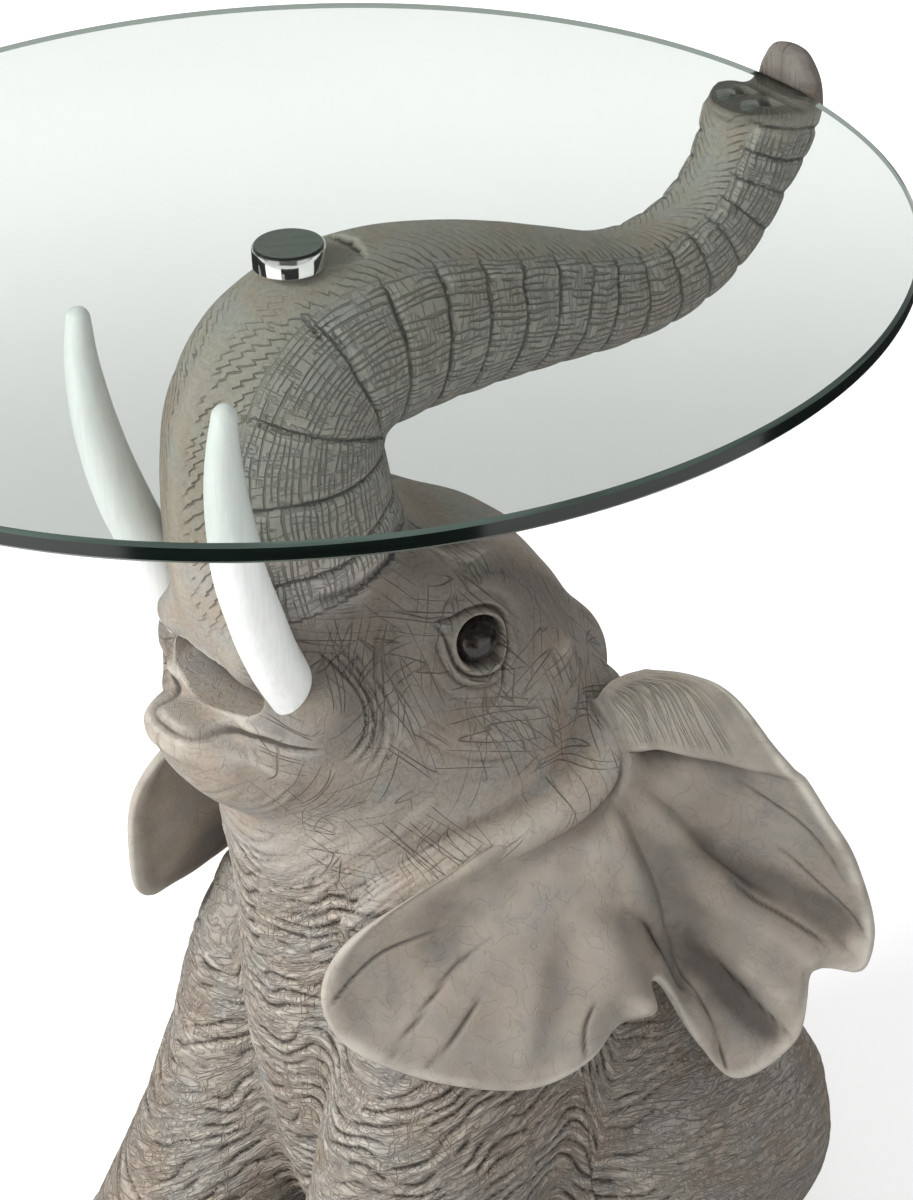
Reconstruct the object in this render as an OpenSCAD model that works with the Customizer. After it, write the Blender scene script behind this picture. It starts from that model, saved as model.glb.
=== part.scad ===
// Seated elephant side table: a resin elephant whose raised trunk carries a round glass top.
// Units are millimetres. The elephant faces -Y, its left side is +X, and the floor is z = 0.

/* [Glass top] */
// diameter of the round glass top
glass_d = 500; // [400:10:600]
// thickness of the glass top
glass_t = 8; // [6:0.5:12]
// width of the polished chamfer along both edges of the glass
glass_chamfer = 1.5; // [0.5:0.1:3]
// height of the upper face of the glass above the floor
table_h = 560; // [450:5:650]

/* [Bonding disc] */
// diameter of the steel disc glued under the glass
disc_d = 30; // [20:1:60]
// thickness of the steel disc
disc_t = 9.8; // [6:0.1:16]
// thickness of the clear adhesive between disc and glass
bond_t = 0.2; // [0.1:0.05:0.5]
// diameter of the plain part of the stud
stud_d = 8; // [6:1:12]
// radial clearance between stud and disc bore
stud_gap = 0.05; // [0.02:0.01:0.1]

/* [Casting] */
// wall thickness of the hollow resin casting
wall = 9; // [6:1:16]
// gap left round every glued-in piece for the adhesive
glue_gap = 0.4; // [0.2:0.1:0.8]
// diameter of the filling hole under the rump
fill_d = 44; // [30:2:60]
// thickness of the felt pads under the feet
felt_t = 2; // [1:0.5:4]

/* [Trunk] */
// radius of the trunk where it leaves the forehead
trunk_r = 48; // [40:1:56]
// radius of the trunk at its tip
tip_r = 23; // [18:1:28]
// distance of the trunk tip centre from the glass axis
tip_y = 241; // [220:1:245]
// thickness of the clear bumpers on the trunk tip
bumper_t = 2; // [1:0.5:4]

/* [Tusks, eyes and ears] */
// radius of a tusk at its thickest point
tusk_r = 12; // [8:0.5:14]
// height of the tusk tips above the floor
tusk_top = 524; // [480:1:530]
// radius of an eyeball
eye_r = 11; // [8:0.5:14]
// thickness of the ear sheets
ear_t = 7; // [4:0.5:10]

/* [Hidden] */
axis_y = -6.5;                             // the glass axis, measured from the middle of the footprint
glass_z = table_h - glass_t;               // underside of the glass
slide = 0.3;                               // clearance where the glass and its disc turn
seat_z = glass_z - bond_t - disc_t;        // flat on the trunk crown under the disc
tip_z = glass_z - slide - bumper_t;        // flat on the trunk tip under the bumpers
eye_c = [60, 40, 389];                     // centre of the left eyeball
insert_r = 6;
insert_l = 22;
nostril_x = 8.5;                           // nostrils, to either side of the middle
bumper_x = 8;
bumper_d = 8;
fill_y = 130;                              // filling hole, behind the glass axis
foot_front = [66, -65];                    // middle of a forefoot on the floor
foot_rear = [105, 30];                     // middle of a hind foot on the floor
resin = [0.47, 0.43, 0.39];
resin_dark = [0.40, 0.36, 0.33];
ivory = [0.93, 0.93, 0.91];
steel = [0.80, 0.80, 0.80];
eye_black = [0.05, 0.04, 0.04];

// ---------- curves and lofted limbs ----------
// Catmull-Rom point between b and c
function cr(a, b, c, d, t) =
    0.5 * (2 * b + (c - a) * t + (2 * a - 5 * b + 4 * c - d) * t * t + (3 * b - a - 3 * c + d) * t * t * t);
function at(s, i) = s[max(0, min(len(s) - 1, i))];
// list s with k points to each of its steps
function dense(s, k) = [
    for (i = [0:len(s) - 2]) for (j = [0:k - 1]) cr(at(s, i - 1), at(s, i), at(s, i + 1), at(s, i + 2), j / k),
    s[len(s) - 1]];
function unit(v) = v / norm(v);
function pos(s) = [s[0], s[1], s[2]];
function dir(s, i) = unit(pos(at(s, i + 1)) - pos(at(s, i - 1)));
function side(t) = unit([1, 0, 0] - t * t[0]);
// n points round centre c, square to direction t, half width a and half depth b
function ring(c, t, a, b, n) = let (u = side(t), v = cross(t, u))
    [for (i = [0:n - 1]) c + u * a * cos(360 * i / n) + v * b * sin(360 * i / n)];
// ring of a rounded end: j of q steps from the full section e out along t by depth c
function end_ring(e, t, c, w, j, q, n) =
    ring(pos(e) + t * c * sin(90 * j / q), t, (e[3] - w) * cos(90 * j / q), (e[4] - w) * cos(90 * j / q), n);

// A limb through stations [x, y, z, half width, half depth]; cap0 and cap1 round its ends, w shrinks it all round.
module limb(st, n = 18, k = 2, cap0 = 0, cap1 = 0, w = 0) {
    s = dense(st, k);
    m = len(s);
    q = 3;
    t0 = dir(s, 0);
    t1 = dir(s, m - 1);
    c0 = max(0, cap0 - w);
    c1 = max(0, cap1 - w);
    front = c0 > 0 ? [for (j = [q - 1:-1:1]) end_ring(s[0], t0, -c0, w, j, q, n)] : [];
    mid = [for (i = [0:m - 1]) ring(pos(s[i]), dir(s, i), s[i][3] - w, s[i][4] - w, n)];
    back = c1 > 0 ? [for (j = [1:q - 1]) end_ring(s[m - 1], t1, c1, w, j, q, n)] : [];
    rings = concat(front, mid, back);
    r = len(rings);
    pts = concat([for (g = rings) each g], [pos(s[0]) - t0 * c0, pos(s[m - 1]) + t1 * c1]);
    faces = concat(
        [for (i = [0:r - 2]) for (j = [0:n - 1]) let (a = i * n + j, b = i * n + (j + 1) % n)
            each [[a, a + n, b], [b, a + n, b + n]]],
        [for (j = [0:n - 1]) [j, (j + 1) % n, r * n]],
        [for (j = [0:n - 1]) let (e = (r - 1) * n) [e + (j + 1) % n, e + j, r * n + 1]]);
    polyhedron(points = pts, faces = faces, convexity = 8);
}

module both() { children(); mirror([1, 0, 0]) children(); }
module blob(c, r, n = 18) { translate(c) scale(r) sphere(r = 1, $fn = n); }

// ---------- stations of the elephant ----------
torso = [[0, 118, 0, 112, 98], [0, 114, 50, 120, 108], [0, 101, 110, 116, 114], [0, 86, 170, 108, 115],
         [0, 68, 225, 96, 104], [0, 56, 275, 82, 92], [0, 52, 315, 74, 80]];
head = [[0, 116, 302, 46, 34], [0, 92, 314, 66, 54], [0, 56, 335, 79, 77], [0, 20, 347, 77, 78],
        [0, -16, 352, 68, 56], [0, -42, 352, 52, 36]];
throat = [[0, 22, 345, 62, 60], [0, 14, 308, 62, 56], [0, 22, 268, 68, 60], [0, 40, 222, 82, 76]];
chest = [[0, 10, 290, 54, 50], [0, 2, 240, 48, 40], [0, -2, 185, 41, 35], [0, 0, 130, 34, 31], [0, 16, 70, 26, 28]];
lip = [[0, -20, 330, 46, 32], [0, -46, 340, 38, 24], [0, -64, 352, 29, 14], [0, -73, 358, 19, 7]];
trunk = [[0, 34, 350, 66, 60], [0, 8, 384, 58, 56], [0, -9, 416, trunk_r + 3, 51], [0, -14, 448, trunk_r, 47],
         [0, -12, 478, 46, 44], [0, 4, 499, 42, 42], [0, 38, 504, 39, 41], [0, 80, 500, 35, 36], [0, 120, 492, 30, 30],
         [0, 152, 485, 26, 25.5], [0, 182, 485, 24, 23.5], [0, 207, 494, 23, 22], [0, 225, 511, 22.5, 21],
         [0, 235, 531, tip_r, 21], [0, tip_y, tip_z, tip_r + 1.5, tip_r - 1]];
foreleg = [[52, 40, 235, 40, 46], [59, 26, 180, 46, 56], [62, 6, 126, 47, 55], [64, -24, 78, 44, 47],
           [65, -50, 44, 43, 44], [66, -64, 18, 46, 50], [66, -65, 0, 47, 51]];
thigh = [[62, 180, 62, 40, 50], [76, 150, 86, 48, 74], [84, 116, 100, 50, 78], [90, 90, 94, 42, 58]];
shank = [[92, 92, 92, 40, 44], [99, 62, 56, 37, 40], [104, 38, 26, 38, 42], [105, 30, 0, 39, 43]];
sheath = [[35, 0, 358, 24, 26], [41, -20, 369, 22, 23], [44, -38, 382, 19, 19]];
tail = [[0, 208, 150, 9, 9], [4, 219, 110, 8, 8], [14, 226, 66, 7, 7], [26, 224, 34, 8, 8], [32, 221, 16, 10, 9]];
tusk = [[40.5, -38, 385, tusk_r - 1, tusk_r - 1], [42.5, -45, 400, tusk_r - 0.5, tusk_r - 0.5],
        [45.5, -54, 424, tusk_r - 0.5, tusk_r - 0.5], [48.5, -62, 450, tusk_r - 1.2, tusk_r - 1.2],
        [51.5, -67, 478, tusk_r - 2.8, tusk_r - 2.8], [53.5, -68.5, 500, tusk_r - 4.8, tusk_r - 4.8],
        [55, -67.5, tusk_top - 5, tusk_r - 6.8, tusk_r - 6.8]];
finger = [[0, 240, tip_z - 34, 16, 12], [0, 251, tip_z - 18, 16, 9], [0, 257, tip_z - 2, 15, 6],
          [0, 257.5, tip_z + 12, 12.5, 5.5], [0, 257, tip_z + 18, 9.5, 5]];

// ear: points on the free rim, then points where the sheet springs from the head
rim = [[75, 116, 351], [99, 136, 348], [130, 142, 332], [149, 152, 306], [160, 166, 268], [161, 169, 226],
       [141, 155, 219], [147, 142, 190], [134, 122, 172], [121, 96, 196], [114, 82, 231], [124, 62, 218], [126, 44, 211],
       [118, 18, 203], [104, -20, 217], [85, -47, 236], [77, -52, 260], [76, -36, 279], [80, 6, 293], [84, 45, 303]];
spring = [[72, 94, 344], [79, 97, 336], [85, 98, 327], [88, 98, 322], [90, 97, 318], [91, 96, 314],
          [91, 94, 311], [91, 92, 308], [90, 90, 306], [89, 88, 304], [88, 86, 303], [87, 84, 302], [86, 82, 301],
          [84, 80, 301], [82, 78, 301], [80, 76, 302], [79, 75, 304], [78, 74, 306], [77, 74, 308], [76, 75, 310]];
// the right ear's front lobe hangs a little deeper than the left one's
droop = [[-4, -4, -9], [-1, 0, -12], [0, 0, 4], [0, -3, 11], [0, -3, 9]];
droop_at = 14;
rim_r = [for (i = [0:len(rim) - 1]) let (j = i - droop_at) j >= 0 && j < len(droop) ? rim[i] + droop[j] : rim[i]];
// how far each sector of the sheet bellies outwards (+) or cups inwards (-)
belly = [-4, -10, -16, -18, -16, -10, 2, -8, -4, 6, 12, 10, 8, 6, 5, 4, 4, 5, 5, 4];

module ear(grow = 0, edge = rim) {
    k = 2;
    m = 5;
    r = dense(edge, k);
    s = dense(spring, k);
    b = dense([for (x = belly) [x]], k);
    n = len(r);
    h = ear_t / 2 + grow;
    // surface of the sheet: sector i, fraction f from spring to rim
    function mid(i, f) = s[i] + (r[i] - s[i]) * f + [b[i][0] * sin(180 * f), 0, 0];
    function nor(i, f) =
        let (g = max(f, 0.15),
             a = mid(min(n - 1, i + 1), g) - mid(max(0, i - 1), g),
             c = mid(i, min(1, f + 0.1)) - mid(i, max(0, f - 0.1)))
        unit(cross(a, c));
    function taper(f) = f < 0.55 ? 1 : 1 - 0.45 * (f - 0.55) / 0.45;
    // one face of the sheet: q is 1 for the outer face and -1 for the inner one
    function face(q) = [for (j = [0:m]) for (i = [0:n - 1]) let (f = j / m)
        mid(i, f) + nor(i, f) * (q * h * taper(f)) + (j == m ? unit(r[i] - s[i]) * grow : [0, 0, 0])];
    o = n * (m + 1);
    faces = concat(
        [for (j = [0:m - 1]) for (i = [0:n - 2]) let (a = j * n + i)
            each [[a, a + n, a + 1], [a + 1, a + n, a + n + 1]]],
        [for (j = [0:m - 1]) for (i = [0:n - 2]) let (a = o + j * n + i)
            each [[a, a + 1, a + n], [a + 1, a + n + 1, a + n]]],
        [for (i = [0:n - 2]) each [[i, i + 1, o + i], [i + 1, o + i + 1, o + i]]],
        [for (i = [0:n - 2]) let (a = m * n + i) each [[a, o + a, a + 1], [a + 1, o + a, o + a + 1]]],
        [for (j = [0:m - 1]) let (a = j * n) each [[a, o + a, a + n], [a + n, o + a, o + a + n]]],
        [for (j = [0:m - 1]) let (a = j * n + n - 1) each [[a, a + n, o + a], [a + n, o + a + n, o + a]]]);
    polyhedron(points = concat(face(1), face(-1)), faces = faces, convexity = 10);
    // root of the ear, set into its pocket behind the eye
    hull() {
        blob([75, 90, 332], [6 + grow, 7 + grow, 13 + grow], 14);
        blob([83, 86, 310], [7 + grow, 10 + grow, 9 + grow], 14);
        blob([60, 82, 319], [7 + grow, 9 + grow, 12 + grow], 14);
    }
}

module tusk_shape(grow = 0) { limb(tusk, n = 16, k = 2, cap0 = 10 + grow, cap1 = 5 + grow, w = -grow); }

module skin() {
    limb(torso, n = 24, k = 2);
    limb(head, n = 24, k = 2, cap0 = 22, cap1 = 12);
    limb(throat, n = 22, k = 2);
    limb(chest, n = 18, k = 1, cap1 = 14);
    limb(lip, n = 18, k = 2, cap1 = 4);
    limb(trunk, n = 20, k = 2);
    limb(finger, n = 14, k = 1, cap1 = 5);
    both() {
        limb(foreleg, n = 18, k = 2);
        limb(thigh, n = 18, k = 2, cap0 = 30, cap1 = 22);
        limb(shank, n = 16, k = 1, cap0 = 10);
        limb(sheath, n = 14, k = 2, cap1 = 9);
        blob([43, 42, 388], [23, 30, 25], 16);
        blob([28, 98, 341], [26, 30, 30], 16);
        for (a = [-40, 0, 40]) blob([foot_front.x + 44 * sin(a), foot_front.y + 1 - 47 * cos(a), 12], [12, 7, 13], 10);
        for (a = [-36, 0, 36]) blob([foot_rear.x + 37 * sin(a), foot_rear.y + 1 - 41 * cos(a), 11], [10, 6, 11], 10);
    }
    limb(tail, n = 10, k = 1, cap0 = 6, cap1 = 8);
    translate([0, 0, seat_z - 8]) cylinder(r1 = 24, r2 = disc_d / 2 + 2, h = 8, $fn = 32);
}

module cavity() {
    intersection() {
        union() {
            limb(torso, n = 16, k = 1, w = wall);
            limb(head, n = 16, k = 1, cap0 = 22, cap1 = 12, w = wall + 3);
            both() {
                limb(foreleg, n = 12, k = 1, w = wall + 3);
                limb(thigh, n = 12, k = 1, cap0 = 30, cap1 = 22, w = wall + 2);
                limb(shank, n = 12, k = 1, w = wall + 4);
            }
        }
        translate([-200, -200, felt_t + wall]) cube([400, 500, 400]);
    }
}

module elephant_body() {
    color(resin) translate([0, axis_y, 0]) resize([0, 0, 0]) difference() {
        intersection() {
            skin();
            translate([-300, -300, felt_t]) cube([600, 700, 700]);
        }
        cavity();
        ear(glue_gap);
        mirror([1, 0, 0]) ear(glue_gap, rim_r);
        both() {
            tusk_shape(glue_gap);
            translate(eye_c) sphere(r = eye_r + glue_gap, $fn = 20);
        }
        translate([0, fill_y, felt_t - 1]) cylinder(d = fill_d, h = wall + 3, $fn = 32);
        translate([0, 0, seat_z]) cylinder(r = disc_d / 2 + 4, h = 30, $fn = 32);
        translate([0, 0, seat_z - insert_l - glue_gap]) cylinder(r = insert_r + glue_gap, h = 40, $fn = 24);
        translate([-40, tip_y - 40, tip_z]) cube([80, 251.6 - tip_y + 40, 60]);
        both() translate([nostril_x, tip_y - 1, tip_z - 12]) scale([0.8, 1, 1]) cylinder(r = 5, h = 20, $fn = 16);
    }
}

module ear_left() { color(resin_dark) translate([0, axis_y, 0]) resize([0, 0, 0]) ear(); }
module ear_right() { color(resin_dark) translate([0, axis_y, 0]) resize([0, 0, 0]) mirror([1, 0, 0]) ear(0, rim_r); }
module tusk_left() { color(ivory) translate([0, axis_y, 0]) resize([0, 0, 0]) tusk_shape(); }
module tusk_right() { color(ivory) translate([0, axis_y, 0]) resize([0, 0, 0]) mirror([1, 0, 0]) tusk_shape(); }
module eyeball(x) { color(eye_black) translate([x, axis_y + eye_c.y, eye_c.z]) sphere(r = eye_r, $fn = 48); }
module eye_left() { eyeball(eye_c.x); }
module eye_right() { eyeball(-eye_c.x); }

// brass insert glued into the trunk crown; the stud screws into it
module threaded_insert() {
    color([0.78, 0.62, 0.32]) translate([0, axis_y, seat_z - insert_l]) difference() {
        cylinder(r = insert_r, h = insert_l, $fn = 64);
        translate([0, 0, 2]) cylinder(d = stud_d, h = insert_l, $fn = 64);
    }
}

module stud() {
    tail = 4;                              // free depth left in the insert under the stud
    color(steel) translate([0, axis_y, seat_z - insert_l + tail])
        cylinder(d = stud_d, h = insert_l - tail + disc_t - 2, $fn = 64);
}

module bonding_disc() {
    r = disc_d / 2;
    h = disc_t - slide;
    roof = 1.5;                            // metal left over the blind bore
    color(steel) translate([0, axis_y, seat_z + slide]) difference() {
        rotate_extrude($fn = 96) polygon([[0, 0], [r - 0.5, 0], [r, 0.5], [r, h - 1], [r - 1, h], [0, h]]);
        translate([0, 0, -1]) cylinder(d = stud_d + 2 * stud_gap, h = h - roof + 1, $fn = 64);
    }
}

module bond_film() {
    color([0.85, 0.88, 0.86]) translate([0, axis_y, glass_z - bond_t]) cylinder(d = disc_d - 2.4, h = bond_t, $fn = 96);
}

module glass_top() {
    c = glass_chamfer;
    r = glass_d / 2;
    color([0.78, 0.86, 0.82, 0.4]) translate([0, axis_y, glass_z]) rotate_extrude($fn = 180)
        polygon([[0, 0], [r - c, 0], [r, c], [r, glass_t - c], [r - c, glass_t], [0, glass_t]]);
}

module trunk_bumpers() {
    color([0.9, 0.9, 0.9]) for (x = [-bumper_x, bumper_x])
        translate([x, axis_y + tip_y - 13, tip_z]) cylinder(d = bumper_d, h = bumper_t, $fn = 32);
}

module fill_plug() {
    color([0.2, 0.2, 0.2]) translate([0, axis_y + fill_y, felt_t]) cylinder(d = fill_d - 2 * glue_gap, h = wall - 1, $fn = 64);
}

module felt_pads() {
    color([0.16, 0.15, 0.14]) {
        for (s = [-1, 1]) {
            translate([s * foot_front.x, axis_y + foot_front.y, 0]) cylinder(r = 34, h = felt_t, $fn = 48);
            translate([s * foot_rear.x, axis_y + foot_rear.y - 4, 0]) cylinder(r = 28, h = felt_t, $fn = 48);
        }
        translate([0, axis_y + fill_y, 0]) cylinder(r = 60, h = felt_t, $fn = 64);
    }
}

elephant_body();
ear_left();
ear_right();
tusk_left();
tusk_right();
eye_left();
eye_right();
threaded_insert();
stud();
bonding_disc();
bond_film();
glass_top();
trunk_bumpers();
fill_plug();
felt_pads();
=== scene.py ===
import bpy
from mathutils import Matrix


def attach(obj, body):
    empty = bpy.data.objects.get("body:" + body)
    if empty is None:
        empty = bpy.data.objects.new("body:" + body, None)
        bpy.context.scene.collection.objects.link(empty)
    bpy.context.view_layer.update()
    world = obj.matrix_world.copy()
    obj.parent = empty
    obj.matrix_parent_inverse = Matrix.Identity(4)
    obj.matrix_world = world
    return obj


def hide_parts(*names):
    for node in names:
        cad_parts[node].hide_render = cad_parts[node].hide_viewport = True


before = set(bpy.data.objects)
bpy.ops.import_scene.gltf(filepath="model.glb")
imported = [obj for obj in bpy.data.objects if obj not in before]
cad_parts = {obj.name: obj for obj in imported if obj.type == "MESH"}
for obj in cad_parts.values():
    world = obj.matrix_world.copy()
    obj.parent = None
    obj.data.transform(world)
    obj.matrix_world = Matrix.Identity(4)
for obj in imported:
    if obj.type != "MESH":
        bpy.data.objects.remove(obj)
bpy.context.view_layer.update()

import math
import bmesh
import bpy
import numpy as np
from mathutils import Matrix, Vector

AXIS_Y = -6.5          # the glass axis in the row frame, mm
TOP = 560.0            # upper face of the glass, mm
MM = 0.001
GLASS_T = 8.0          # thickness of the glass
RIM_SAFE = 251.6       # radius outside which the trunk's finger stands, clear of the 250 mm rim
CAP_ROWS = 6           # rows in the rounded end of a tube

# ------------------------------------------------------------------ curves and meshes
def cr(s, k):
    """Catmull-Rom through the stations, k steps each."""
    s = np.asarray(s, float)
    n = len(s)
    out = []
    for i in range(n - 1):
        a, b, c, d = s[max(i - 1, 0)], s[i], s[i + 1], s[min(i + 2, n - 1)]
        for j in range(k):
            t = j / k
            out.append(0.5 * (2 * b + (c - a) * t + (2 * a - 5 * b + 4 * c - d) * t * t + (3 * b - a - 3 * c + d) * t ** 3))
    out.append(s[-1])
    return np.array(out)


def unit(v):
    return v / np.maximum(np.linalg.norm(v, axis=-1, keepdims=True), 1e-12)


def frames(c):
    t = unit(np.gradient(c, axis=0))
    x = np.array([1.0, 0, 0])
    u = unit(x - t * (t @ x)[:, None])
    return t, u, np.cross(t, u)


def limb(st, n=40, k=6, cap0=0.0, cap1=0.0):
    """Closed tube through stations x, y, z, half width, half depth."""
    s = cr(st, k)
    c, ab = s[:, :3], s[:, 3:5]
    t, u, v = frames(c)
    rows = [(c[i], u[i], v[i], ab[i, 0], ab[i, 1]) for i in range(len(s))]

    def cap(i, length):
        turn = [math.pi / 2 * j / CAP_ROWS for j in range(1, CAP_ROWS)]
        return [(c[i] + t[i] * length * math.sin(h), u[i], v[i], *(ab[i] * math.cos(h))) for h in turn]

    if cap0 > 0:
        rows = cap(0, -cap0)[::-1] + rows
    if cap1 > 0:
        rows += cap(-1, cap1)
    a = np.arange(n) * 2 * math.pi / n
    V = np.concatenate([p + uu * (ra * np.cos(a))[:, None] + vv * (rb * np.sin(a))[:, None] for p, uu, vv, ra, rb in rows])
    r = len(rows)
    V = np.concatenate([V, [c[0] - t[0] * cap0], [c[-1] + t[-1] * cap1]])
    F = []
    for i in range(r - 1):
        for j in range(n):
            b = (j + 1) % n
            F.append((i * n + j, i * n + b, (i + 1) * n + b, (i + 1) * n + j))
    for j in range(n):
        F.append(((j + 1) % n, j, r * n))
        F.append(((r - 1) * n + j, (r - 1) * n + (j + 1) % n, r * n + 1))
    return V, F


def blob(c, rad, n=24):
    m = n // 2
    V, F = [], []
    for i in range(1, m):
        th = math.pi * i / m
        for j in range(n):
            ph = 2 * math.pi * j / n
            V.append((c[0] + rad[0] * math.sin(th) * math.cos(ph), c[1] + rad[1] * math.sin(th) * math.sin(ph),
                      c[2] - rad[2] * math.cos(th)))
    a, b = len(V), len(V) + 1
    V += [(c[0], c[1], c[2] - rad[2]), (c[0], c[1], c[2] + rad[2])]
    for i in range(m - 2):
        for j in range(n):
            k = (j + 1) % n
            F.append((i * n + j, i * n + k, (i + 1) * n + k, (i + 1) * n + j))
    for j in range(n):
        k = (j + 1) % n
        F.append((k, j, a))
        F.append(((m - 2) * n + j, (m - 2) * n + k, b))
    return np.array(V, float), F


def mirror(part):
    V, F = part
    V = V.copy()
    V[:, 0] *= -1
    return V, [f[::-1] for f in F]


def join(parts):
    V, F, o = [], [], 0
    for v, f in parts:
        V.append(v)
        F += [tuple(i + o for i in q) for q in f]
        o += len(v)
    return np.concatenate(V), F


def make(name, V, F, smooth=True):
    """Mesh object from design millimetres."""
    me = bpy.data.meshes.new(name)
    P = (np.asarray(V, float) + [0, AXIS_Y, 0]) * MM
    me.from_pydata(P.tolist(), [], [tuple(int(i) for i in f) for f in F])
    me.validate()
    if smooth:
        me.polygons.foreach_set("use_smooth", [True] * len(me.polygons))
    me.update()
    ob = bpy.data.objects.new(name, me)
    bpy.context.scene.collection.objects.link(ob)
    return ob


def applied(ob):
    """Replaces the object's mesh by its evaluated one, so no modifier is left."""
    bpy.context.view_layer.update()
    dg = bpy.context.evaluated_depsgraph_get()
    me = bpy.data.meshes.new_from_object(ob.evaluated_get(dg))
    old = ob.data
    ob.modifiers.clear()
    ob.data = me
    bpy.data.meshes.remove(old)
    return ob


def co(me):
    a = np.empty(len(me.vertices) * 3)
    me.vertices.foreach_get("co", a)
    return a.reshape(-1, 3) / MM - [0, AXIS_Y, 0]


def set_co(me, P):
    me.vertices.foreach_set("co", ((P + [0, AXIS_Y, 0]) * MM).ravel())
    me.update()


def edges(me):
    e = np.empty(len(me.edges) * 2, int)
    me.edges.foreach_get("vertices", e)
    return e.reshape(-1, 2)


def normals(me):
    a = np.empty(len(me.vertices) * 3, np.float32)
    me.vertex_normals.foreach_get("vector", a)
    return a.reshape(-1, 3).astype(float)


class Smoother:
    def __init__(self, me):
        e = edges(me)
        self.a = np.concatenate([e[:, 0], e[:, 1]])
        self.b = np.concatenate([e[:, 1], e[:, 0]])
        self.n = len(me.vertices)
        self.d = np.maximum(np.bincount(self.a, minlength=self.n), 1)

    def mean(self, f):
        if f.ndim == 1:
            return np.bincount(self.a, f[self.b], self.n) / self.d
        return np.stack([np.bincount(self.a, f[self.b, i], self.n) for i in range(f.shape[1])], 1) / self.d[:, None]

    def run(self, f, times, lam=0.5, w=None):
        for _ in range(times):
            g = self.mean(f) - f
            if w is not None:
                g = g * (w if f.ndim == 1 else w[:, None])
            f = f + lam * g
        return f


_rng = np.random.RandomState(7)
_perm = _rng.permutation(256)
_perm = np.concatenate([_perm, _perm, _perm])
_grad = unit(_rng.normal(size=(256, 3)))


def noise(P):
    """Gradient noise, about -1 to 1."""
    P = np.asarray(P, float)
    i = np.floor(P).astype(int)
    f = P - i
    i &= 255
    w = f * f * f * (f * (f * 6 - 15) + 10)
    out = 0
    for dx in (0, 1):
        for dy in (0, 1):
            for dz in (0, 1):
                at = (i + [dx, dy, dz]) & 255
                g = _grad[_perm[_perm[_perm[at[:, 0]] + at[:, 1]] + at[:, 2]]]
                d = ((f - [dx, dy, dz]) * g).sum(1)
                for k, far in enumerate((dx, dy, dz)):
                    d = d * (w[:, k] if far else 1 - w[:, k])
                out = out + d
    return out * 1.7


def step(a, b, x):
    t = np.clip((x - a) / (b - a), 0, 1)
    return t * t * (3 - 2 * t)


def gauss(d, w):
    return np.exp(-(d / w) ** 2)


def line_dist(P, L, k=6):
    """Distance from each point to a smooth line through L, and how far along it, 0 to 1."""
    C = cr(L, k)
    best = np.full(len(P), 1e9)
    along = np.zeros(len(P))
    for i in range(len(C) - 1):
        a, b = C[i], C[i + 1]
        ab = b - a
        t = np.clip(((P - a) @ ab) / max(ab @ ab, 1e-9), 0, 1)
        d = np.linalg.norm(P - a - t[:, None] * ab, axis=1)
        m = d < best
        best[m] = d[m]
        along[m] = (i + t[m]) / (len(C) - 1)
    return best, along


# ------------------------------------------------------------------ stations, the CAD's forms with small changes
TIP_Z = TOP - GLASS_T - 0.3 - 2.0      # flat of the trunk's tip, under its bumpers
SEAT_Z = TOP - GLASS_T - 10.0          # flat under the disc
TORSO = [[0, 118, 0, 112, 98], [0, 114, 50, 120, 108], [0, 101, 110, 116, 114], [0, 86, 170, 108, 115],
         [0, 68, 225, 96, 104], [0, 56, 275, 82, 92], [0, 52, 315, 74, 80]]
HEAD = [[0, 116, 302, 46, 34], [0, 92, 314, 66, 54], [0, 56, 335, 79, 77], [0, 20, 347, 77, 78],
        [0, -16, 352, 68, 56], [0, -42, 352, 52, 36]]
THROAT = [[0, 22, 345, 62, 60], [0, 14, 308, 62, 56], [0, 22, 268, 68, 60], [0, 40, 222, 82, 76]]
CHEST = [[0, 10, 290, 54, 50], [0, 2, 240, 48, 40], [0, -2, 185, 41, 35], [0, 0, 130, 34, 31], [0, 16, 70, 26, 28]]
LIP = [[0, -20, 330, 46, 32], [0, -46, 340, 38, 24], [0, -64, 352, 29, 14], [0, -73, 358, 19, 7]]
TRUNK = [[0, 34, 350, 66, 60], [0, 8, 384, 58, 56], [0, -9, 416, 51, 51], [0, -14, 448, 48, 47],
         [0, -12, 478, 46, 44], [0, 4, 499, 42, 42], [0, 38, 504, 39, 41], [0, 80, 500, 35, 36], [0, 120, 492, 30, 30],
         [0, 152, 485, 26, 25.5], [0, 182, 485, 24, 23.5], [0, 207, 494, 23, 22], [0, 225, 511, 22.5, 21],
         [0, 235, 531, 23, 21], [0, 241, TIP_Z, 24.5, 22]]
FORELEG = [[52, 40, 235, 40, 46], [59, 26, 180, 46, 56], [62, 6, 126, 47, 55], [64, -24, 78, 44, 47],
           [65, -50, 44, 43, 44], [66, -64, 18, 46, 50], [66, -65, 0, 47, 51]]
THIGH = [[62, 180, 62, 40, 50], [76, 150, 86, 48, 74], [84, 116, 100, 50, 78], [90, 90, 94, 42, 58]]
SHANK = [[92, 92, 92, 40, 44], [99, 62, 56, 37, 40], [104, 38, 26, 38, 42], [105, 30, 0, 39, 43]]
SHEATH = [[35, 2, 357, 25, 27], [42, -17, 367, 24, 25], [46, -33, 378, 20, 21]]
JOWL = [[58, 104, 340, 12, 13], [68, 98, 326, 14, 14], [75, 85, 314, 14, 14], [76, 64, 305, 13, 13], [72, 36, 296, 12, 12],
        [68, 8, 287, 10, 10], [65, -12, 281, 8, 8], [61, -28, 273, 6, 6]]
TAIL = [[0, 208, 150, 9, 9], [4, 219, 110, 8, 8], [14, 226, 66, 7, 7], [26, 224, 34, 8, 8], [32, 221, 16, 10, 9]]
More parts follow.
